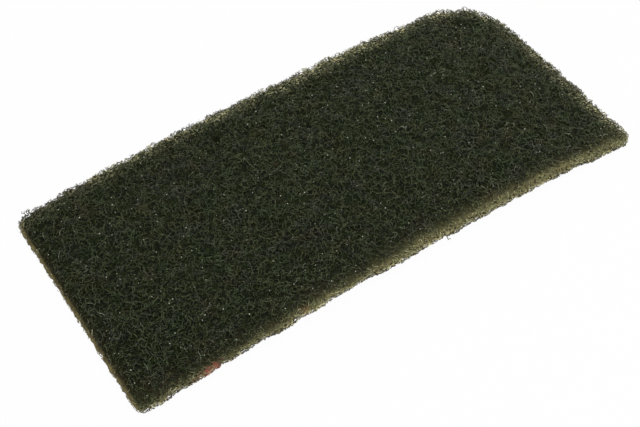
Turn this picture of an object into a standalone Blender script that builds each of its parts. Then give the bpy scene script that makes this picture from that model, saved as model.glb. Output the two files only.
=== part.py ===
# Scouring pad: one hand-sized slab of nonwoven web, cut square at its left end and
# rounded at its right end, which lies arched on its two ends.
# Metres, +Z up. The origin is on the floor, under the middle of the pad.

import math

import bmesh
import bpy
from mathutils import Vector, noise

# Plan of the pad, seen from above, with the long side along X
PAD_LENGTH = 0.254
PAD_WIDTH = 0.117
CUT_CORNER_RADIUS = 0.0030
FRONT_CORNER_RADIUS = 0.0045
BACK_CORNER_RADIUS = 0.0265
END_BOW = 0.0021

# Section of the web
WEB_THICKNESS = 0.0073
RIM_INSET = 0.0010
RIM_DROP = 0.0008

# The shears pinch the web at the left end, and their cut leans under the pad
CUT_PINCH = 0.0020
PINCH_REACH = 0.015
CUT_LEAN = 0.0015

# The set that the pad has taken: it rises between its ends, and falls off more
# suddenly towards the rounded one
ARCH_RISE = 0.0073
CROWN_ACROSS = 0.0010
CUT_END_POWER = 2.4
ROUND_END_POWER = 4.0
SEAT_DEPTH = 0.0010

# Unevenness of the web: its loft comes and goes in wide patches, and bundles of
# crimped fibre stand up from it as short crossing ridges
LOFT_SPAN = 0.018
LOFT_HEIGHT = 0.0006
RIDGE_SPAN = 0.0075
RIDGE_HEIGHT = 0.0011
CRIMP_SPAN = 0.0031
CRIMP_REACH = 0.0012
EDGE_WANDER_SPAN = 0.030
EDGE_WANDER = 0.0007
CUT_FACE_SHARE = 0.3
WEB_SEED = 7

# Grid of points that carries the unevenness
CELLS_ALONG = 76
CELLS_ACROSS = 35
CELLS_THROUGH = 3

WEB_COLOUR = (0.030, 0.036, 0.020, 1.0)
WEB_ROUGHNESS = 0.9

HALF_LENGTH = PAD_LENGTH / 2
HALF_WIDTH = PAD_WIDTH / 2


def clear_scene():
    for obj in list(bpy.data.objects):
        bpy.data.objects.remove(obj, do_unlink=True)


def sliced_block():
    # A block from -1 to 1 on each axis, cut by evenly spaced planes, so that each
    # of its sides carries a grid.
    bm = bmesh.new()
    bmesh.ops.create_cube(bm, size=2.0)
    for axis, cells in enumerate((CELLS_ALONG, CELLS_ACROSS, CELLS_THROUGH)):
        normal = Vector((0.0, 0.0, 0.0))
        normal[axis] = 1.0
        for cut in range(1, cells):
            geometry = bm.verts[:] + bm.edges[:] + bm.faces[:]
            place = normal * (2.0 * cut / cells - 1.0)
            bmesh.ops.bisect_plane(bm, geom=geometry, plane_co=place, plane_no=normal)
    return bm


def corner_radius(u, v):
    if u < 0:
        return CUT_CORNER_RADIUS
    return BACK_CORNER_RADIUS if v > 0 else FRONT_CORNER_RADIUS


def plan_point(u, v):
    # Takes the square from -1 to 1 onto the pad's plan. Inside a corner's radius,
    # the square's corner is drawn in to a quarter circle.
    x, y = u * HALF_LENGTH, v * HALF_WIDTH
    radius = corner_radius(u, v)
    along = (abs(x) - HALF_LENGTH + radius) / radius
    across = (abs(y) - HALF_WIDTH + radius) / radius
    if along > 0 and across > 0:
        in_along = along * math.sqrt(1 - across * across / 2)
        in_across = across * math.sqrt(1 - along * along / 2)
        x = math.copysign(HALF_LENGTH - radius + radius * in_along, x)
        y = math.copysign(HALF_WIDTH - radius + radius * in_across, y)
    x += END_BOW * (1 - v * v) * max(u, 0.0)
    return x, y


def arch_height(x, y):
    # Height of the web's underside above the floor that its ends stand on.
    reach = min(abs(x) / HALF_LENGTH, 1.0)
    power = CUT_END_POWER if x < 0 else ROUND_END_POWER
    crown = ARCH_RISE + CROWN_ACROSS * (1 - (y / HALF_WIDTH) ** 2)
    return crown * (1 - reach**power)


def web_thickness(x):
    pinch = max(0.0, 1 - (x + HALF_LENGTH) / PINCH_REACH)
    return WEB_THICKNESS - CUT_PINCH * pinch * pinch


def place_in_slab(u, v, w):
    # Where a point of the block lies in the smooth slab, before its unevenness.
    x, y = plan_point(u, v)
    rise = (w + 1) / 2
    z = arch_height(x, y) + rise * web_thickness(x)
    on_end, on_side, on_face = (abs(abs(t) - 1) < 1e-6 for t in (u, v, w))
    if on_face and (on_end or on_side):
        x -= math.copysign(RIM_INSET, u) if on_end else 0.0
        y -= math.copysign(RIM_INSET, v) if on_side else 0.0
        z -= math.copysign(RIM_DROP, w)
    if on_end and u < 0:
        x += CUT_LEAN * (1 - rise)
    return Vector((x, y, z))


def web_height(point):
    # A ridge stands where the noise passes through zero, so ridges meet and cross.
    loft = noise.fractal(point / LOFT_SPAN, 1.0, 2.0, 2)
    ridge = 0.5 - 2.0 * abs(noise.noise(point / RIDGE_SPAN))
    return LOFT_HEIGHT * loft + RIDGE_HEIGHT * ridge


def crimp(point):
    # Each bundle of fibre also strays along the surface, so no row runs straight.
    return CRIMP_REACH * noise.noise_vector(point / CRIMP_SPAN)


def edge_wander(point):
    # The outline strays a little from the die's line, less so at the sheared end.
    return EDGE_WANDER * noise.noise(Vector((point.x, point.y, 0.0)) / EDGE_WANDER_SPAN)


def shape_web(bm):
    block = {vert: vert.co.copy() for vert in bm.verts}
    for vert in bm.verts:
        vert.co = place_in_slab(*block[vert])
    bm.normal_update()
    moved = {}
    for vert in bm.verts:
        u, v, _ = block[vert]
        share = CUT_FACE_SHARE if abs(u + 1) < 1e-6 else 1.0
        out = vert.normal * web_height(vert.co) + crimp(vert.co)
        if max(abs(u), abs(v)) > 1 - 1e-6:
            level = Vector((vert.normal.x, vert.normal.y, 0.0))
            out += level * edge_wander(vert.co)
        moved[vert] = vert.co + out * share
    for vert, place in moved.items():
        vert.co = place


def seat_on_floor(bm):
    # The ends give a little under the pad's weight, so each has a flat spot.
    for vert in bm.verts:
        vert.co.z = max(vert.co.z - SEAT_DEPTH, 0.0)


def centre_on_origin(bm):
    for axis in (0, 1):
        places = [vert.co[axis] for vert in bm.verts]
        middle = (min(places) + max(places)) / 2
        for vert in bm.verts:
            vert.co[axis] -= middle


def web_material():
    material = bpy.data.materials.new("nonwoven_web")
    material.use_nodes = True
    shader = material.node_tree.nodes["Principled BSDF"]
    shader.inputs["Base Color"].default_value = WEB_COLOUR
    shader.inputs["Roughness"].default_value = WEB_ROUGHNESS
    shader.inputs["Metallic"].default_value = 0.0
    material.diffuse_color = WEB_COLOUR
    return material


def build_pad(collection):
    bm = sliced_block()
    shape_web(bm)
    bmesh.ops.triangulate(bm, faces=bm.faces[:], quad_method="SHORT_EDGE")
    seat_on_floor(bm)
    centre_on_origin(bm)
    bmesh.ops.recalc_face_normals(bm, faces=bm.faces[:])
    mesh = bpy.data.meshes.new("pad")
    bm.to_mesh(mesh)
    bm.free()
    mesh.materials.append(web_material())
    mesh.shade_smooth()
    mesh.set_sharp_from_angle(angle=math.radians(35))
    pad = bpy.data.objects.new("pad", mesh)
    collection.objects.link(pad)
    return pad


clear_scene()
noise.seed_set(WEB_SEED)
scouring_pad = bpy.data.collections.new("scouring_pad")
bpy.context.scene.collection.children.link(scouring_pad)
build_pad(scouring_pad)
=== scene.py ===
# Looks of the scouring pad: thousands of crimped fibres over a near-black core, its dark painted
# shade deep in the web, paler along the cut sides, partly in painted light, with painted specks of
# light through the rims, on a plain pale floor in soft light. Metres, in the frame of the imported
# model.
import math

import bmesh
import bpy
from mathutils import Matrix, Vector, noise


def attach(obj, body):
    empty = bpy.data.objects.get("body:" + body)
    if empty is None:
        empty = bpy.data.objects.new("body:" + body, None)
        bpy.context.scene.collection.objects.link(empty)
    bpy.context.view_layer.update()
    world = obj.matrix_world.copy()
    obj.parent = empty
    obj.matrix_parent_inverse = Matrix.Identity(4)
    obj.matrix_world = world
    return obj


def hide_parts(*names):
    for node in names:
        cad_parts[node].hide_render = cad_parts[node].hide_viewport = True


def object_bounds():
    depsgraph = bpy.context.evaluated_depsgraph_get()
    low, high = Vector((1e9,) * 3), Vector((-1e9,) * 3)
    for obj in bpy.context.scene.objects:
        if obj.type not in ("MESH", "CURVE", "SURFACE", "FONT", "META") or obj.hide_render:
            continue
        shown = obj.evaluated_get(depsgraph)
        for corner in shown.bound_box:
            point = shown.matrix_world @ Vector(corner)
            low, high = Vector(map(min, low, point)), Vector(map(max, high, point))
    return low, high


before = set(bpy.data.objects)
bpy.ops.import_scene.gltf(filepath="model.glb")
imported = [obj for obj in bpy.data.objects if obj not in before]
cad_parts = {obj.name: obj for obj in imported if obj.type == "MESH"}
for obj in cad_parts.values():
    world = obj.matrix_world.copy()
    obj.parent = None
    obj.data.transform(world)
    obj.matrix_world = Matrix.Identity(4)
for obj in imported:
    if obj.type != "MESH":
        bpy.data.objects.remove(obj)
cadBox = [list(corner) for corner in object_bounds()]
print("frame loaded")


class Wire:
    # One socket of a node tree. A sum written on wires adds its Math or Vector Math nodes.
    def __init__(self, tree, socket=None):
        self.tree, self.socket = tree, socket

    def node(self, kind, settings=None, sockets=None, out=0):
        made = self.tree.nodes.new(kind)
        for name, value in (settings or {}).items():
            setattr(made, name, value)
        for key, value in (sockets or {}).items():
            if isinstance(value, Wire):
                self.tree.links.new(value.socket, made.inputs[key])
            else:
                made.inputs[key].default_value = value
        return Wire(self.tree, made.outputs[out] if made.outputs else None)

    def other(self, name):
        return Wire(self.tree, self.socket.node.outputs[name])

    def into(self, shader, name):
        self.tree.links.new(self.socket, shader.inputs[name])

    def math(self, operation, *parts):
        return self.node("ShaderNodeMath", {"operation": operation}, dict(enumerate(parts)))

    def vector(self, operation, *parts, out=0):
        return self.node(
            "ShaderNodeVectorMath", {"operation": operation}, dict(enumerate(parts)), out
        )

    def pair(self, operation, first, second):
        wires = [part for part in (first, second) if isinstance(part, Wire)]
        if all(wire.socket.type not in ("VECTOR", "RGBA") for wire in wires):
            return self.math(operation, first, second)
        first, second = (
            (part,) * 3 if isinstance(part, (int, float)) else part for part in (first, second)
        )
        return self.vector(operation, first, second)

    def __add__(self, more):
        return self.pair("ADD", self, more)

    __radd__ = __add__

    def __sub__(self, less):
        return self.pair("SUBTRACT", self, less)

    def __rsub__(self, start):
        return self.pair("SUBTRACT", start, self)

    def __mul__(self, times):
        return self.pair("MULTIPLY", self, times)

    __rmul__ = __mul__

    def __truediv__(self, share):
        return self.pair("DIVIDE", self, share)

    def axis(self, name):
        return self.node("ShaderNodeSeparateXYZ", {}, {0: self}).other(name)

    def between(self, low, high, how="SMOOTHSTEP"):
        # 0 where this is low, 1 where it is high, eased between
        return self.node(
            "ShaderNodeMapRange",
            {"interpolation_type": how},
            {"Value": self, "From Min": low, "From Max": high},
        )

    def blend(self, share, first, second, how="MIX"):
        return self.node(
            "ShaderNodeMix",
            {"data_type": "RGBA", "blend_type": how},
            {0: share, 6: first, 7: second},
            out=2,
        )

    def cloud(self, place, scale, detail=0.0, out="Fac"):
        sockets = {"Vector": place, "Scale": scale, "Detail": detail}
        return self.node("ShaderNodeTexNoise", {}, sockets).other(out)

    def attribute(self, name, out="Fac"):
        return self.node("ShaderNodeAttribute", {"attribute_name": name}).other(out)

    def bumpOn(self, shader, strength, distance):
        # This wire as the height of a shader's grain
        sockets = {"Strength": strength, "Distance": distance, "Height": self}
        self.node("ShaderNodeBump", {}, sockets).into(shader, "Normal")


def colour(red, green, blue):
    # A colour picked on a screen, from 0 to 255, as the linear value that shaders take
    linear = [
        level / 12.92 if level <= 0.04045 else ((level + 0.055) / 1.055) ** 2.4
        for level in (red / 255, green / 255, blue / 255)
    ]
    return (*linear, 1.0)


backCorner = 0.0265  # radius of the back corner

# The web's own colours and how they are spread. A pair is where a change begins and ends.
webLook = {
    "strand": colour(73, 83, 50),
    # near-black: painted shade deep in the web, where it shows between the strands
    "core": colour(6, 8, 4),
    "coreStrand": colour(47, 58, 25),
    # The cut sides' pale colours: partly the web's own, partly painted light through the thin web
    # at the sides
    "side": colour(166, 165, 116),
    "sideBrown": colour(146, 132, 90),
    "sideCore": colour(132, 130, 90),
    # darker brown along the lower rim, towards the underside: painted shade
    "rim": colour(54, 45, 31),
    # darker along the upper face's rims, away from the front: painted shade
    "backRimShade": colour(58, 49, 27),
    "backRimShare": 0.9,
    "cut": colour(156, 144, 98),
    "cutShare": 0.7,
    "cutReach": (0.0022, 0.00066),  # in from the cut end
    "patchTints": [(1.18, 1.04, 1.52, 1.0), (1.14, 0.97, 0.86, 1.0), (0.93, 1.02, 0.98, 1.0)],
    "patchScale": 110.0,
    "patchEdge": (0.54, 0.64),
    "brownScale": 90.0,
    "brownEdge": (0.45, 0.62),
    "brownShare": 0.4,
    "frontReach": (-0.040, -0.055),  # along Y
    # How late the pale front gives way to the face: each stretch along X, and what it adds
    "lateness": [(-0.10, 0.06, 3.4), (0.09, 0.125, -2.9), (0.02, 0.07, 1.2)],
    "latenessElsewhere": 0.2,
    "givingWay": 1.2,
    "strandRoughness": 0.45,
    "strandGloss": 0.35,
    "tintSwing": 0.4,
    "flickerScale": 1500.0,
    "flickerSwing": 3.2,
    "grainScale": 3200.0,
    "grainStrength": 0.35,
    "grainDistance": 0.0002,
}

# Slopes at which the web changes colour: 1 on the upper face, 0 on a side, -1 on the underside
webSlopes = {
    "backRimShade": (0.95, 0.6),
    "lowerRim": (0.16, -0.30),
    "aboveUnderside": (-0.97, -0.72),
    "paintedShadeBits": (0.6, -0.1),
    "frontSpecks": (0.5, -0.1),
    "backSpecks": (0.1, 0.5),
}

# Painted specks of light, as if it came through the web's rims, and the dark bits of rim between
# them, in painted shade
speckLook = {
    "paint": colour(250, 244, 188),
    "scale": 1000.0,
    "detail": 0.5,
    "edge": (0.58, 0.62),
    "gain": 0.13,
    "patchScale": 60.0,
    "patchEdge": (0.34, 0.62),
    "patchLeast": 0.5,
    "reach": (0.0115, 0.0012),  # in from the back and the rounded end
    "thinning": (-0.080, -0.020),  # along X: fewer towards the left
    "thinningShares": (0.72, 1.04),
    "frontShare": 0.9,
    "cutGap": (0.003, 0.007),  # in from the cut end, which has none
    "darkOffset": (0.3, 0.1, 0.7),
    "darkEdge": (0.61, 0.64),
    "darkGain": 0.14,
    "darkShare": 0.95,
}

# Marks on the web: the place of each, its reach along and across, its colour and its strength
webMarks = [
    ((-0.0980, -0.0590), (0.0070, 0.0018), colour(184, 126, 104), 0.5),
    ((-0.0926, -0.0586), (0.0036, 0.0020), colour(190, 98, 88), 0.8),
    ((-0.0950, -0.0594), (0.0034, 0.0018), colour(222, 78, 100), 1.0),
    ((-0.0503, -0.0580), (0.0020, 0.0024), colour(150, 96, 62), 0.5),
    ((0.0501, -0.0557), (0.0012, 0.0008), colour(130, 76, 54), 0.3),
    ((-0.0082, 0.0218), (0.0018, 0.0012), colour(96, 56, 46), 0.35),
    ((-0.0201, 0.0138), (0.0016, 0.0010), colour(96, 56, 46), 0.35),
]
markLook = {
    "edge": (1.1, 0.5),  # in parts of the reach
    "raggedScale": 420.0,
    "raggedness": 2.0,
    "streakScale": 1100.0,
    "streakEdge": (0.38, 0.60),
    "streakLeast": 0.25,
}


def marked(start, shown, place, share=1.0):
    ragged = (start.cloud(place, markLook["raggedScale"], 1.0) - 0.5) * markLook["raggedness"]
    streak = start.cloud(place, markLook["streakScale"]).between(*markLook["streakEdge"])
    streak = streak * (1.0 - markLook["streakLeast"]) + markLook["streakLeast"]
    for middle, (along, across), paint, strength in webMarks:
        away = (place - (*middle, 0.0)) * (1.0 / along, 1.0 / across, 0.0)
        far = start.vector("LENGTH", away, out="Value") + ragged
        covered = far.between(*markLook["edge"]) * streak * (strength * share)
        shown = start.blend(covered, shown, paint)
    return shown


def slopeOf(start):
    return start.attribute("lie", "Vector").axis("Z")


def atFront(place):
    return place.axis("Y").between(*webLook["frontReach"])


def webColour(start, place, face, side):
    # The face's colour in faint patches, and the side's paler colour where the web is cut open,
    # partly painted light
    slope, front, right = slopeOf(start), atFront(place), place.axis("X")
    patch = start.cloud(place, webLook["patchScale"], 1.0, "Color")
    shown = face
    for axis, tint in zip("XYZ", webLook["patchTints"]):
        tinted = patch.axis(axis).between(*webLook["patchEdge"])
        shown = start.blend(tinted, shown, tint, "MULTIPLY")
    brown = start.cloud(place, webLook["brownScale"], 2.0).between(*webLook["brownEdge"])
    cutOpen = start.blend(brown * webLook["brownShare"], side, webLook["sideBrown"])
    late = 1.0
    for begin, end, more in webLook["lateness"]:
        late = right.between(begin, end) * more + late
    late = late * front + webLook["latenessElsewhere"]
    steep = 1.0 - start.math("ABSOLUTE", slope)
    turned = start.node("ShaderNodeClamp", {}, {"Value": steep * late})
    shown = start.blend(start.math("POWER", turned, webLook["givingWay"]), shown, cutOpen)
    # The upper rims darker, away from the front: painted shade
    backRimShade = slope.between(*webSlopes["backRimShade"]) * (1.0 - front) * webLook["backRimShare"]
    shown = start.blend(backRimShade, shown, webLook["backRimShade"])
    # The lower rim darker brown above the underside: painted shade
    above = slope.between(*webSlopes["aboveUnderside"])
    shown = start.blend(slope.between(*webSlopes["lowerRim"]) * above, shown, webLook["rim"])
    # Dark bits among the painted specks at the front's lower rim: painted shade
    bits = start.cloud(place + speckLook["darkOffset"], speckLook["scale"], speckLook["detail"])
    bits = bits + slope.between(*webSlopes["paintedShadeBits"]) * speckLook["darkGain"]
    dark = bits.between(*speckLook["darkEdge"]) * front * above * speckLook["darkShare"]
    shown = start.blend(dark, shown, webLook["rim"])
    cut = right.between(*(cadBox[0][0] + reach for reach in webLook["cutReach"]))
    return start.blend(cut * webLook["cutShare"], shown, webLook["cut"])


def paintedLightThrough(start, shown, place, bright=1.0):
    # Painted light: specks of light coming through the web's rims between the strands are painted
    # on, fewer further in
    slope, front, right = slopeOf(start), atFront(place), place.axis("X")
    # how far in from the back and the rounded end
    past = place - (cadBox[1][0] - backCorner, cadBox[1][1] - backCorner, 0.0)
    past = start.vector("MAXIMUM", past, (0.0, 0.0, 0.0)) * (1.0, 1.0, 0.0)
    inside = backCorner - start.vector("LENGTH", past, out="Value")
    behind = inside.between(*speckLook["reach"], "LINEAR") * (1.0 - front)
    behind = behind * slope.between(*webSlopes["backSpecks"])
    fewest, most = speckLook["thinningShares"]
    behind = behind * (right.between(*speckLook["thinning"]) * (most - fewest) + fewest)
    notCut = right.between(*(cadBox[0][0] + gap for gap in speckLook["cutGap"]))
    below = slope.between(*webSlopes["frontSpecks"]) * slope.between(*webSlopes["aboveUnderside"])
    zone = start.math("MAXIMUM", behind, below * notCut * speckLook["frontShare"])
    patch = start.cloud(place, speckLook["patchScale"], 1.0).between(*speckLook["patchEdge"])
    patch = patch * (1.0 - speckLook["patchLeast"]) + speckLook["patchLeast"]
    speck = start.cloud(place, speckLook["scale"], speckLook["detail"])
    speck = speck + zone * patch * speckLook["gain"]
    share = speck.between(*speckLook["edge"]) * zone * patch
    return start.blend(share * bright, shown, speckLook["paint"])


def newMaterial(name, roughness, gloss):
    material = bpy.data.materials.new(name)
    material.use_nodes = True
    shader = material.node_tree.nodes["Principled BSDF"]
    shader.inputs["Roughness"].default_value = roughness
    shader.inputs["Specular IOR Level"].default_value = gloss
    start = Wire(material.node_tree)
    return material, shader, start, start.node("ShaderNodeTexCoord").other("Object")


# Each kind of strand: how many are pale, and their colour, how bright the deepest is beside the
# highest (painted shade, darker the deeper a strand lies), how even its colour is and how bright
# the painted specks of light are on it
strandKinds = {
    "webStrand": {
        "paleShare": 0.02,
        "pale": colour(136, 142, 120),
        "deepShade": 0.16,
        "even": 0.0,
        "lit": 0.22,
    },
    "webSideStrand": {
        "paleShare": 0.2,
        "pale": colour(206, 202, 160),
        "deepShade": 0.7,
        "even": 0.6,
        "lit": 1.0,
    },
}


def strandMaterial(name):
    kind = strandKinds[name]
    material, shader, start, place = newMaterial(
        name, webLook["strandRoughness"], webLook["strandGloss"]
    )
    tint, depth = start.attribute("tint"), start.attribute("depth")
    shown = webColour(start, place, webLook["strand"], webLook["side"])
    shown = start.blend(tint.between(1.0 - kind["paleShare"], 1.0), shown, kind["pale"])
    flicker = start.cloud(place, webLook["flickerScale"])
    uneven = (tint - 0.5) * webLook["tintSwing"] + (flicker - 0.5) * webLook["flickerSwing"]
    # Strands lying deeper are darker: painted shade from the strands above them
    paintedDepthShade = depth * (1 - kind["deepShade"]) + kind["deepShade"]
    shade = (uneven * (1 - kind["even"]) + 1.0) * paintedDepthShade
    shown = start.blend(1.0, marked(start, shown, place), shade, "MULTIPLY")
    paintedLightThrough(start, shown, place, kind["lit"]).into(shader, "Base Color")
    grain = start.cloud(place, webLook["grainScale"], 2.0)
    grain.bumpOn(shader, webLook["grainStrength"], webLook["grainDistance"])
    return material


# Deep strands drawn on the core. "first" and "more" give the lowest set of lines and what each
# set above it adds: each set above is brighter, painted shade that darkens the lines lying deeper.
coreLook = {
    "roughness": 0.8,
    "gloss": 0.1,
    "lineScales": (1050.0, 820.0, 640.0),
    "lineDetail": 0.6,
    "lineEdge": (0.055, 0.02),
    "lineOffset": (0.37, 0.91, 0.53),
    "brightScale": 900.0,
    "brightEdge": (0.3, 0.7),
    "brightLeast": 0.1,
    "brightFirst": 0.45,
    "brightMore": 0.2,
    "heightFirst": 0.6,
    "heightMore": 0.2,
    "sideLeast": 0.7,
    "markShare": 0.4,
    "bumpStrength": 0.8,
    "bumpDistance": 0.0004,
}


def coreMaterial():
    # Curling lines lie over each other: each set of them stands where a cloud passes through
    # its middle value
    material, shader, start, place = newMaterial(
        "webCore", coreLook["roughness"], coreLook["gloss"]
    )
    shade, height = 0.0, 0.0
    for row, scale in enumerate(coreLook["lineScales"]):
        moved = place + tuple(part * row for part in coreLook["lineOffset"])
        line = start.math("ABSOLUTE", start.cloud(moved, scale, coreLook["lineDetail"]) - 0.5)
        line = line.between(*coreLook["lineEdge"])
        bright = start.cloud(moved, coreLook["brightScale"]).between(*coreLook["brightEdge"])
        # lower sets darker: painted shade of depth
        bright = bright * (coreLook["brightFirst"] + coreLook["brightMore"] * row)
        shade = start.math("MAXIMUM", line * (bright + coreLook["brightLeast"]), shade)
        level = coreLook["heightFirst"] + coreLook["heightMore"] * row
        height = start.math("MAXIMUM", line * level, height)
    face = start.blend(shade, webLook["core"], webLook["coreStrand"])
    sideShade = shade * (1.0 - coreLook["sideLeast"]) + coreLook["sideLeast"]
    side = start.blend(sideShade, webLook["core"], webLook["sideCore"])
    shown = marked(start, webColour(start, place, face, side), place, coreLook["markShare"])
    paintedLightThrough(start, shown, place).into(shader, "Base Color")
    height.bumpOn(shader, coreLook["bumpStrength"], coreLook["bumpDistance"])
    return material


def placed(name, data):
    made = bpy.data.objects.new(name, data)
    bpy.context.scene.collection.objects.link(made)
    return made


def finished(bm, name, material):
    mesh = bpy.data.meshes.new(name)
    bm.to_mesh(mesh)
    bm.free()
    mesh.shade_smooth()
    mesh.materials.append(material)
    return placed(name, mesh)


# The surface that the fibres grow on: the CAD solid, merged, with the side that each face is on
# and the direction that its loft stands in
surfaceSizes = {
    "merge": 0.000001,
    "sideSlope": 0.6,  # a face that leans further than this from level is on a side
    "sideReach": 0.006,
    "rimLean": 0.3,
    "lowerRimSlope": -0.25,
    "smoothings": 12,
    "smoothing": 0.5,
    "evenings": (0.5, -0.52) * 5,  # evens out the rims without drawing them in
    "standOut": 0.0002,
}
# The number of each side, which a fibre's Side names
upperSide, underSide, frontSide, backSide, cutSide, lowerRim = 1.0, -1.0, 0.0, 2.0, 3.0, 4.0


def leanOf(lie):
    return math.hypot(lie.x, lie.y)


def sideOf(face, lies):
    lie = sum((lies[vert.index] for vert in face.verts), Vector()) / len(face.verts)
    middle = face.calc_center_median()
    reach = surfaceSizes["sideReach"]
    atCut = middle.x < cadBox[0][0] + reach
    isLow = lie.z < surfaceSizes["lowerRimSlope"]
    if not atCut and isLow and leanOf(lie) > surfaceSizes["rimLean"]:
        return lowerRim
    if abs(face.normal.z) >= surfaceSizes["sideSlope"]:
        return upperSide if face.normal.z > 0 else underSide
    if atCut and abs(face.normal.x) > abs(face.normal.y):
        return cutSide
    return frontSide if middle.y < cadBox[0][1] + reach else backSide


def smooth(bm, verts, factor):
    bmesh.ops.smooth_vert(
        bm, verts=verts, factor=factor, use_axis_x=True, use_axis_y=True, use_axis_z=True
    )


def webSurface():
    bm = bmesh.new()
    bm.from_mesh(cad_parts["pad"].data)
    bmesh.ops.remove_doubles(bm, verts=bm.verts[:], dist=surfaceSizes["merge"])
    mesh = bpy.data.meshes.new("webSurface")
    places = [vert.co.copy() for vert in bm.verts]
    for _ in range(surfaceSizes["smoothings"]):
        smooth(bm, bm.verts[:], surfaceSizes["smoothing"])
    bm.normal_update()
    bm.verts.index_update()
    lies = [vert.normal.copy() for vert in bm.verts]
    for vert, place in zip(bm.verts, places):
        vert.co = place
    edging = [vert for vert in bm.verts if leanOf(lies[vert.index]) > surfaceSizes["rimLean"]]
    for factor in surfaceSizes["evenings"]:
        smooth(bm, edging, factor)
    for vert in edging:
        lie = lies[vert.index]
        vert.co += Vector((lie.x, lie.y, 0.0)) * surfaceSizes["standOut"]
        vert.co.z = max(vert.co.z, 0.0)
    bm.normal_update()
    bm.to_mesh(mesh)
    sides = [sideOf(face, lies) for face in bm.faces]
    bm.free()
    mesh.attributes.new("side", "FLOAT", "FACE").data.foreach_set("value", sides)
    spread = [axis for lie in lies for axis in lie]
    mesh.attributes.new("lie", "FLOAT_VECTOR", "POINT").data.foreach_set("vector", spread)
    return mesh


surface = webSurface()
print("surface read:", len(surface.polygons), "faces")


# The core: what shows between the fibres, near-black as painted shade deep in the web. Its upper
# edge drops away along the back and the rounded end, where specks of light through the web are
# painted on it.
coreSizes = {
    "frontInset": 0.0008,
    "backInset": 0.0012,
    "roundedEndInset": 0.0012,
    "cutEndInset": 0.0004,
    "faceInset": 0.0012,
    "underInset": 0.0003,
    "rimLift": 0.0008,
    "backDrop": 0.0016,  # how far its upper edge drops along the back and the rounded end
    "backDropReach": 0.0060,
    "lumpSpan": 0.0021,
    "lumpHeight": 0.0012,
    "lowest": 0.0006,
}


def coreLift(vert, lie):
    # How far a point of the surface rises or sinks on its way to the core
    inset = coreSizes["faceInset"] if vert.normal.z > 0 else coreSizes["underInset"]
    lift = coreSizes["rimLift"] * leanOf(lie) * max(-lie.z, 0.0) - inset * vert.normal.z
    highX, highY, _ = cadBox[1]
    past = math.hypot(
        max(vert.co.x - highX + backCorner, 0.0), max(vert.co.y - highY + backCorner, 0.0)
    )
    near = max(0.0, 1 - (backCorner - past) / coreSizes["backDropReach"])
    return lift - coreSizes["backDrop"] * near * max(lie.z, 0.0)


def buildCore():
    bm = bmesh.new()
    bm.from_mesh(surface)
    (lowX, lowY, _), (highX, highY, _) = cadBox
    scaleX = 1 - (coreSizes["roundedEndInset"] + coreSizes["cutEndInset"]) / (highX - lowX)
    scaleY = 1 - (coreSizes["frontInset"] + coreSizes["backInset"]) / (highY - lowY)
    bm.normal_update()
    lieOf = bm.verts.layers.float_vector["lie"]
    lifts = {vert: coreLift(vert, vert[lieOf]) for vert in bm.verts}
    for vert, lift in lifts.items():
        vert.co.x = lowX + coreSizes["cutEndInset"] + (vert.co.x - lowX) * scaleX
        vert.co.y = lowY + coreSizes["frontInset"] + (vert.co.y - lowY) * scaleY
        vert.co.z += lift
    bmesh.ops.subdivide_edges(bm, edges=bm.edges[:], cuts=1, use_grid_fill=True)
    bm.normal_update()
    moves = {
        vert: vert.normal * coreSizes["lumpHeight"] * noise.noise(vert.co / coreSizes["lumpSpan"])
        for vert in bm.verts
    }
    for vert, move in moves.items():
        vert.co += move
        vert.co.z = max(vert.co.z, coreSizes["lowest"])
    bmesh.ops.triangulate(bm, faces=bm.faces[:])
    return finished(bm, "webCore", coreMaterial())


def newTree(name, inputs):
    tree = bpy.data.node_groups.new(name, "GeometryNodeTree")
    tree.is_modifier = True
    tree.interface.new_socket("Geometry", in_out="INPUT", socket_type="NodeSocketGeometry")
    for title, kind in inputs.items():
        tree.interface.new_socket(title, in_out="INPUT", socket_type="NodeSocket" + kind)
    tree.interface.new_socket("Geometry", in_out="OUTPUT", socket_type="NodeSocketGeometry")
    start = Wire(tree)
    return tree, start, start.node("NodeGroupInput")


def closeTree(start, shape, material):
    # The tree gives out a plain smooth mesh in its material
    shape = start.node("GeometryNodeSetShadeSmooth", {}, {"Geometry": shape, "Shade Smooth": True})
    shape = start.node("GeometryNodeRealizeInstances", {}, {"Geometry": shape})
    shape = start.node("GeometryNodeSetMaterial", {}, {"Geometry": shape, "Material": material})
    start.node("NodeGroupOutput", {}, {"Geometry": shape})


def named(start, name, kind):
    return start.node("GeometryNodeInputNamedAttribute", {"data_type": kind}, {"Name": name})


def stored(start, points, name, value, kind):
    return start.node(
        "GeometryNodeStoreNamedAttribute",
        {"data_type": kind, "domain": "POINT"},
        {"Geometry": points, "Name": name, "Value": value},
    )


def chance(start, low, high, identity, seed):
    return start.node(
        "FunctionNodeRandomValue",
        {"data_type": "FLOAT"},
        {2: low, 3: high, "ID": identity, "Seed": seed},
        out=1,
    )


def vectorChance(start, low, high, identity, seed):
    return start.node(
        "FunctionNodeRandomValue",
        {"data_type": "FLOAT_VECTOR"},
        {0: (low,) * 3, 1: (high,) * 3, "ID": identity, "Seed": seed},
    )


def rootsOnSide(start, web, density):
    # Random points on the faces of one side of the web. The sides' numbers are 1 apart.
    onSide = start.node(
        "FunctionNodeCompare",
        {"data_type": "FLOAT", "operation": "EQUAL"},
        {"A": named(start, "side", "FLOAT"), "B": web.other("Side"), "Epsilon": 0.3},
    )
    return start.node(
        "GeometryNodeDistributePointsOnFaces",
        {},
        {"Mesh": web, "Selection": onSide, "Density": density, "Seed": web.other("Seed")},
    )


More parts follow.
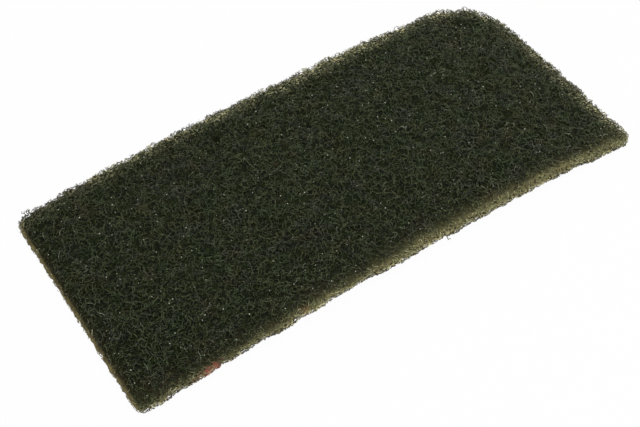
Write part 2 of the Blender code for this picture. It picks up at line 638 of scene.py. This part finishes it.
# The tree that grows crimped fibres on one side of the surface
fibreInputs = {
    "Side": "Float",
    "Density": "Float",
    "Rim Extra": "Float",
    "Seed": "Int",
    "Points": "Int",
    "Length": "Float",
    "Curl Span": "Float",
    "Curl": "Float",
    "Crimp Span": "Float",
    "Crimp": "Float",
    "Bob Span": "Float",
    "Lowest": "Float",
    "Highest": "Float",
    "Flare": "Float",
    "Fringe": "Float",
    "Thickness": "Float",
    "Floor": "Float",
    "Material": "Material",
}

# What all fibres have in common
fibreForm = {
    "rimLean": (0.15, 0.5),
    "lengthSpread": (0.75, 1.25),
    "fringeSpread": (0.2, 1.0),
    "radiusSpread": (0.35, 0.65),
    "ownHeight": 0.4,  # the rest of its height is from the way it bobs
    "bobEdge": (0.28, 0.72),
    "flarePower": 3.0,
    "fewestPoints": 3,
    "sides": 3,
}
fibreSeeds = {"tint": 3, "fringe": 5, "height": 9, "length": 11, "thickness": 21}
wanderRows = {"curl": 0.0, "crimp": 3.7, "bob": 9.1, "strand": 7.31}  # apart in one wide noise


def fibreTree():
    tree, start, web = newTree("crimpedFibres", fibreInputs)
    given = web.other
    stand = named(start, "lie", "FLOAT_VECTOR")
    leaning = start.vector("LENGTH", stand * (1.0, 1.0, 0.0), out="Value")
    crowd = leaning.between(*fibreForm["rimLean"]) * given("Rim Extra") + 1.0
    points = rootsOnSide(start, web, given("Density") * crowd)
    index = start.node("GeometryNodeInputIndex")
    root = start.node("GeometryNodeInputPosition")
    spin = vectorChance(start, -1.0, 1.0, index, given("Seed"))
    along = start.vector("NORMALIZE", start.vector("CROSS_PRODUCT", stand, spin))
    across = start.vector("CROSS_PRODUCT", stand, along)
    points = stored(start, points, "strand", index, "INT")
    points = stored(start, points, "root", root, "FLOAT_VECTOR")
    points = stored(start, points, "along", along, "FLOAT_VECTOR")
    points = stored(start, points, "across", across, "FLOAT_VECTOR")
    tint = chance(start, 0.0, 1.0, index, fibreSeeds["tint"])
    points = stored(start, points, "tint", tint, "FLOAT")

    # The points along each fibre. It turns as it goes, in wide curls and a fine crimp.
    copies = start.node(
        "GeometryNodeDuplicateElements",
        {"domain": "POINT"},
        {"Geometry": points, "Amount": given("Points")},
    )
    step = copies.other("Duplicate Index")
    strand = named(start, "strand", "INT")
    stretch = chance(start, *fibreForm["lengthSpread"], strand, fibreSeeds["length"])
    stride = given("Length") / (given("Points") - 1) * stretch
    gone = step * stride

    def wander(span, row):
        # A smooth random value along the strand, 0.5 on average
        height = strand * wanderRows["strand"] + wanderRows[row]
        place = start.node("ShaderNodeCombineXYZ", {}, {"X": gone / span, "Y": height})
        return start.node(
            "ShaderNodeTexNoise",
            {"noise_dimensions": "2D"},
            {"Vector": place, "Scale": 1.0, "Detail": 0.0},
        )

    turn = (wander(given("Curl Span"), "curl") - 0.5) * given("Curl")
    turn = turn + (wander(given("Crimp Span"), "crimp") - 0.5) * given("Crimp")
    ahead = named(start, "along", "FLOAT_VECTOR") * start.math("COSINE", turn)
    aside = named(start, "across", "FLOAT_VECTOR") * start.math("SINE", turn)
    walked = start.node(
        "GeometryNodeAccumulateField",
        {"data_type": "FLOAT_VECTOR", "domain": "POINT"},
        {0: (ahead + aside) * stride, 1: strand},
    )
    bent = named(start, "root", "FLOAT_VECTOR") + walked

    # Each point is laid on the surface at its strand's own height. A strand that strays past
    # the outline is cut off there.
    nearest = start.node(
        "GeometryNodeProximity", {"target_element": "FACES"}, {0: web, "Sample Position": bent}
    )
    lie = start.node(
        "GeometryNodeSampleNearestSurface",
        {"data_type": "FLOAT_VECTOR"},
        {"Mesh": web, "Value": named(start, "lie", "FLOAT_VECTOR"), "Sample Position": bent},
    )
    off = bent - nearest
    sideways = off - lie * start.vector("DOT_PRODUCT", off, lie, out="Value")
    strayed = start.vector("LENGTH", sideways, out="Value")
    fringe = chance(start, *fibreForm["fringeSpread"], strand, fibreSeeds["fringe"])
    past = start.math("GREATER_THAN", strayed, given("Fringe") * fringe)
    cuts = start.node(
        "GeometryNodeAccumulateField",
        {"data_type": "FLOAT", "domain": "POINT"},
        {0: past, 1: strand},
    )
    ownHeight = chance(start, 0.0, 1.0, strand, fibreSeeds["height"])
    bob = wander(given("Bob Span"), "bob").between(*fibreForm["bobEdge"])
    share = ownHeight * fibreForm["ownHeight"] + bob * (1.0 - fibreForm["ownHeight"])
    middle = step / (given("Points") - 1) * 2.0 - 1.0
    ends = start.math("POWER", start.math("ABSOLUTE", middle), fibreForm["flarePower"])
    rise = (given("Highest") - given("Lowest")) * share
    height = given("Lowest") + rise + given("Flare") * ends
    laid = nearest + sideways + lie * height
    above = start.math("MAXIMUM", laid.axis("Z"), given("Floor"))
    laid = start.node(
        "ShaderNodeCombineXYZ", {}, {"X": laid.axis("X"), "Y": laid.axis("Y"), "Z": above}
    )
    kept = stored(start, copies, "place", laid, "FLOAT_VECTOR")
    kept = stored(start, kept, "depth", share, "FLOAT")
    kept = stored(start, kept, "lie", lie, "FLOAT_VECTOR")
    kept = stored(start, kept, "weight", step, "FLOAT")
    isCut = start.math("GREATER_THAN", cuts, 0.5)
    kept = start.node(
        "GeometryNodeDeleteGeometry", {"domain": "POINT"}, {"Geometry": kept, "Selection": isCut}
    )
    place = named(start, "place", "FLOAT_VECTOR")
    kept = start.node("GeometryNodeSetPosition", {}, {"Geometry": kept, "Position": place})

    # Tubes along what is left
    strands = start.node(
        "GeometryNodePointsToCurves",
        {},
        {"Points": kept, "Curve Group ID": strand, "Weight": named(start, "weight", "FLOAT")},
    )
    count = start.node("GeometryNodeSplineLength").other("Point Count")
    tooShort = start.math("LESS_THAN", count, fibreForm["fewestPoints"])
    strands = start.node(
        "GeometryNodeDeleteGeometry",
        {"domain": "CURVE"},
        {"Geometry": strands, "Selection": tooShort},
    )
    ring = start.node(
        "GeometryNodeCurvePrimitiveCircle", {}, {"Resolution": fibreForm["sides"], "Radius": 1.0}
    )
    spread = chance(start, *fibreForm["radiusSpread"], strand, fibreSeeds["thickness"])
    tubes = start.node(
        "GeometryNodeCurveToMesh",
        {},
        {
            "Curve": strands,
            "Profile Curve": ring,
            "Scale": given("Thickness") * spread,
            "Fill Caps": True,
        },
    )
    closeTree(start, tubes, given("Material"))
    return tree


# The fibres of the upper face, the underside, the sides and the lower rim
upperFibres = {
    "Side": upperSide,
    "Density": 155000.0,
    "Rim Extra": -0.3,
    "Points": 7,
    "Length": 0.0044,
    "Curl Span": 0.0036,
    "Curl": 5.6,
    "Crimp Span": 0.0014,
    "Crimp": 2.6,
    "Bob Span": 0.0017,
    "Lowest": -0.0014,
    "Highest": 0.0004,
    "Flare": -0.0005,
    "Fringe": 0.0007,
    "Thickness": 0.00028,
    "Floor": 0.0003,
}
underFibres = {**upperFibres, "Side": underSide, "Density": 100000.0}
frontFibres = {
    **upperFibres,
    "Side": frontSide,
    "Density": 1300000.0,
    "Rim Extra": 0.0,
    "Length": 0.0028,
    "Points": 6,
    "Lowest": -0.0009,
    "Highest": 0.0002,
    "Flare": 0.0,
    "Thickness": 0.00025,
}
cutFibres = {**frontFibres, "Side": cutSide, "Density": 900000.0, "Lowest": -0.0012}
backFibres = {
    **frontFibres,
    "Side": backSide,
    "Density": 800000.0,
    "Length": 0.0032,
    "Curl Span": 0.0020,
    "Curl": 11.0,
    "Lowest": -0.0026,
    "Thickness": 0.00034,
}
rimFibres = {**backFibres, "Side": lowerRim, "Length": 0.0025, "Lowest": -0.0009, "Highest": 0.0003}

# The pieces that are grown: the name of each, its values, its seed and its kind of strand
fibrePieces = [
    ("upperFibres1", upperFibres, 3, "webStrand"),
    ("upperFibres2", upperFibres, 5, "webStrand"),
    ("upperFibres3", upperFibres, 8, "webStrand"),
    ("underFibres", underFibres, 13, "webStrand"),
    ("frontFibres", frontFibres, 21, "webSideStrand"),
    ("backFibres", backFibres, 22, "webSideStrand"),
    ("cutFibres", cutFibres, 23, "webSideStrand"),
    ("rimFibres", rimFibres, 24, "webStrand"),
]

# The tree that sets beads of resin on one side of the surface
beadInputs = {
    "Side": "Float",
    "Density": "Float",
    "Seed": "Int",
    "Size": "Float",
    "Lowest": "Float",
    "Highest": "Float",
    "Material": "Material",
}
beadSizes = {
    "Side": upperSide,
    "Density": 34000.0,
    "Size": 0.00050,
    "Lowest": -0.0002,
    "Highest": 0.0004,
}
beadLook = {
    "seed": 34,
    "sizeSpread": (0.5, 1.3),
    "turn": 6.0,
    "glint": colour(232, 234, 214),
    "glintEdge": (0.2, 1.0),
    "roughness": 0.25,
    "gloss": 0.5,
    "grainScale": 4000.0,
    "grainStrength": 0.5,
    "grainDistance": 0.0002,
}
beadSeeds = {"tint": 3, "height": 4, "size": 8, "turn": 9}


def beadTree():
    tree, start, web = newTree("resinBeads", beadInputs)
    given = web.other
    points = rootsOnSide(start, web, given("Density"))
    index = start.node("GeometryNodeInputIndex")
    tint = chance(start, 0.0, 1.0, index, beadSeeds["tint"])
    points = stored(start, points, "tint", tint, "FLOAT")
    height = chance(start, given("Lowest"), given("Highest"), index, beadSeeds["height"])
    offset = named(start, "lie", "FLOAT_VECTOR") * height
    points = start.node("GeometryNodeSetPosition", {}, {"Geometry": points, "Offset": offset})
    bead = start.node(
        "GeometryNodeMeshIcoSphere", {}, {"Radius": given("Size") * 0.5, "Subdivisions": 1}
    )
    size = vectorChance(start, *beadLook["sizeSpread"], index, beadSeeds["size"])
    turn = vectorChance(start, 0.0, beadLook["turn"], index, beadSeeds["turn"])
    beads = start.node(
        "GeometryNodeInstanceOnPoints",
        {},
        {"Points": points, "Instance": bead, "Rotation": turn, "Scale": size},
    )
    closeTree(start, beads, given("Material"))
    return tree


def beadMaterial():
    material, shader, start, place = newMaterial(
        "resinBead", beadLook["roughness"], beadLook["gloss"]
    )
    bright = start.attribute("tint").between(*beadLook["glintEdge"])
    # Pale beads: partly a painted glint of light on the resin
    shown = start.blend(bright * bright * bright, webLook["strand"], beadLook["glint"])
    shown.into(shader, "Base Color")
    grain = start.cloud(place, beadLook["grainScale"], 2.0)
    grain.bumpOn(shader, beadLook["grainStrength"], beadLook["grainDistance"])
    return material


def grow(name, tree, values, seed, material):
    mesh = surface.copy()
    grown = placed(name + "Root", mesh)
    modifier = grown.modifiers.new("grown", "NODES")
    modifier.node_group = tree
    values = {**values, "Seed": seed, "Material": material}
    for item in tree.interface.items_tree:
        if item.in_out == "INPUT" and item.name in values:
            modifier[item.identifier] = values[item.name]
    grown.update_tag()
    depsgraph = bpy.context.evaluated_depsgraph_get()
    made = bpy.data.meshes.new_from_object(grown.evaluated_get(depsgraph))
    grown.modifiers.remove(modifier)
    bpy.data.objects.remove(grown)
    bpy.data.meshes.remove(mesh)
    made.name = name
    for spent in ("strand", "root", "along", "across", "place", "weight", "side"):
        if spent in made.attributes:
            made.attributes.remove(made.attributes[spent])
    made.calc_loop_triangles()
    print(name, "grown:", len(made.loop_triangles), "triangles")
    return placed(name, made)


# Strands that have come loose at the edge: where each is rooted, the way it stands out, how far,
# the size of the curl that it ends in and its turns
looseStrands = {
    "strands": [
        ((-0.1222, 0.0570, 0.0054), (-0.62, 0.76, 0.10), 0.0022, 0.00055, 1.4),
        ((-0.1216, 0.0572, 0.0056), (-0.30, 0.85, 0.20), 0.0016, 0.00050, 1.2),
        ((-0.1210, 0.0574, 0.0054), (0.10, 0.90, 0.20), 0.0015, 0.00050, 1.1),
        ((-0.1228, 0.0566, 0.0052), (-0.70, 0.60, 0.00), 0.0014, 0.00045, 1.3),
        ((-0.1204, 0.0574, 0.0056), (-0.50, 0.70, 0.30), 0.0013, 0.00050, 1.5),
        ((0.0206, -0.0562, 0.0080), (0.36, -0.70, -0.42), 0.0036, 0.00040, 1.1),
    ],
    "thickness": 0.00040,
    "taper": 0.4,
    "points": 16,
    "sides": 5,
    "curlSpeed": 3.0,  # how soon the curl has its full size
    "reachSpeed": 1.5,
    "drift": 0.6,  # how far a turn of the curl lies beside the one before
    "gloss": 0.3,
    "flickerEdge": (0.35, 0.65),
}


def looseMaterial():
    material, shader, start, place = newMaterial(
        "webLoose", webLook["strandRoughness"], looseStrands["gloss"]
    )
    uneven = start.cloud(place, webLook["flickerScale"], 1.0)
    shown = start.blend(
        uneven.between(*looseStrands["flickerEdge"]), webLook["rim"], webLook["strand"]
    )
    shown.into(shader, "Base Color")
    return material


def loosePath(root, way, reach, curl, turns):
    way = Vector(way).normalized()
    level = way.orthogonal().normalized()
    aside = way.cross(level)
    path = []
    last = looseStrands["points"] - 1
    for step in range(last + 1):
        share = step / last
        angle = share * turns * math.tau
        swing = curl * min(share * looseStrands["curlSpeed"], 1.0)
        out = reach * math.sin(min(share * looseStrands["reachSpeed"], 1.0) * math.pi / 2)
        place = Vector(root) + way * (out + swing * math.sin(angle))
        place += level * swing * (1 - math.cos(angle))
        path.append(place + aside * curl * looseStrands["drift"] * share)
    return path


def addTube(bm, path):
    sides, last = looseStrands["sides"], len(path) - 1
    rings = []
    for step, middle in enumerate(path):
        ahead = (path[min(step + 1, last)] - path[max(step - 1, 0)]).normalized()
        first = ahead.orthogonal().normalized()
        second = ahead.cross(first)
        radius = looseStrands["thickness"] / 2 * (1 - looseStrands["taper"] * step / last)
        ring = []
        for corner in range(sides):
            angle = math.tau * corner / sides
            out = first * math.cos(angle) + second * math.sin(angle)
            ring.append(bm.verts.new(middle + out * radius))
        rings.append(ring)
    for low, high in zip(rings, rings[1:]):
        # The rings may turn about the strand, so each is joined to the nearest corner on
        shift = min(range(sides), key=lambda k: (high[k].co - low[0].co).length)
        for corner in range(sides):
            a, b = low[corner], low[(corner + 1) % sides]
            c, d = high[(corner + 1 + shift) % sides], high[(corner + shift) % sides]
            bm.faces.new((a, b, c, d))
    bm.faces.new(list(reversed(rings[0])))
    bm.faces.new(rings[-1])


def buildLooseStrands():
    bm = bmesh.new()
    for strand in looseStrands["strands"]:
        addTube(bm, loosePath(*strand))
    bmesh.ops.recalc_face_normals(bm, faces=bm.faces[:])
    return finished(bm, "looseStrands", looseMaterial())


core = buildCore()
pieces = [core, buildLooseStrands()]
fibres = fibreTree()
strandLooks = {kind: strandMaterial(kind) for kind in strandKinds}
for name, values, seed, kind in fibrePieces:
    pieces.append(grow(name, fibres, values, seed, strandLooks[kind]))
pieces.append(grow("resinBeads", beadTree(), beadSizes, beadLook["seed"], beadMaterial()))

for piece in pieces:
    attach(piece, "root")
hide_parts("pad")
print("pieces made:", len(pieces))


# The floor, the room and the lamps
studioSizes = {
    "floorSide": 6.0,
    "floorAlbedo": 0.8,
    "floorWhite": 0.97,
    "skyLight": 0.42,
    "keyPower": 8.8,
    "keySide": 0.5,
    "keyPlace": (0.18, -0.48, 1.18),
    "fillPower": 4.0,
    "fillSide": 1.2,
    "fillPlace": (0.8, 0.7, 0.9),
}
plainWhite = (1.0, 1.0, 1.0, 1.0)


def whiteForCamera(start, lit, white, strength=1.0):
    # The camera, and what mirrors it, see white where the room would show
    path = start.node("ShaderNodeLightPath")
    seen = start.math("MAXIMUM", path.other("Is Camera Ray"), path.other("Is Glossy Ray"))
    seen = start.math("MAXIMUM", seen, path.other("Is Transmission Ray"))
    return start.node("ShaderNodeMixShader", {}, {0: seen * strength, 1: lit, 2: white})


def buildFloor():
    bm = bmesh.new()
    bmesh.ops.create_grid(bm, x_segments=1, y_segments=1, size=studioSizes["floorSide"] / 2)
    mesh = bpy.data.meshes.new("floor")
    bm.to_mesh(mesh)
    bm.free()
    material = bpy.data.materials.new("floorPaint")
    material.use_nodes = True
    start = Wire(material.node_tree)
    grey = (studioSizes["floorAlbedo"],) * 3 + (1.0,)
    lit = start.node("ShaderNodeBsdfDiffuse", {}, {"Color": grey})
    white = start.node("ShaderNodeEmission", {}, {"Color": plainWhite, "Strength": 1.0})
    mixed = whiteForCamera(start, lit, white, studioSizes["floorWhite"])
    mixed.into(material.node_tree.nodes["Material Output"], "Surface")
    mesh.materials.append(material)
    placed("floor", mesh)


def buildRoom():
    world = bpy.data.worlds.new("room")
    bpy.context.scene.world = world
    world.use_nodes = True
    start = Wire(world.node_tree)
    dim = {"Color": plainWhite, "Strength": studioSizes["skyLight"]}
    sky = start.node("ShaderNodeBackground", {}, dim)
    white = start.node("ShaderNodeBackground", {}, {"Color": plainWhite, "Strength": 1.0})
    mixed = whiteForCamera(start, sky, white)
    mixed.into(world.node_tree.nodes["World Output"], "Surface")


def buildLamps():
    for name in ("key", "fill"):
        lamp = bpy.data.lights.new(name, "AREA")
        lamp.energy = studioSizes[name + "Power"]
        lamp.size = studioSizes[name + "Side"]
        place = Vector(studioSizes[name + "Place"])
        turn = (-place).to_track_quat("-Z", "Y").to_matrix().to_4x4()
        placed(name, lamp).matrix_world = Matrix.Translation(place) @ turn


cameraView = {
    "azimuth": -31.023,
    "elevation": 50.686,
    "roll": -2.752,
    "distance": 0.547456,
    "target": (-0.013369, -0.011436, 0.0),
    "focal": 1241.787,  # in pixels of a picture of this width:
    "pictureWidth": 640,
    "sensorWidth": 36.0,
    "clipStart": 0.01,
}


def buildCamera():
    camera = bpy.data.cameras.new("camera")
    camera.sensor_width = cameraView["sensorWidth"]
    camera.lens = cameraView["focal"] / cameraView["pictureWidth"] * camera.sensor_width
    camera.clip_start = cameraView["clipStart"]
    holder = placed("camera", camera)
    azimuth, elevation, roll = (
        math.radians(cameraView[angle]) for angle in ("azimuth", "elevation", "roll")
    )
    level = Vector((math.cos(azimuth), math.sin(azimuth), 0.0))
    back = Vector((math.sin(azimuth), -math.cos(azimuth), 0.0)) * math.cos(elevation)
    back.z = math.sin(elevation)
    rise = back.cross(level)
    right = level * math.cos(roll) + rise * math.sin(roll)
    up = rise * math.cos(roll) - level * math.sin(roll)
    turn = Matrix((right, up, back)).transposed().to_4x4()
    place = Vector(cameraView["target"]) + back * cameraView["distance"]
    holder.matrix_world = Matrix.Translation(place) @ turn
    bpy.context.scene.camera = holder


buildFloor()
buildRoom()
buildLamps()
buildCamera()
bpy.context.scene.view_settings.view_transform = "Standard"
print("studio set")
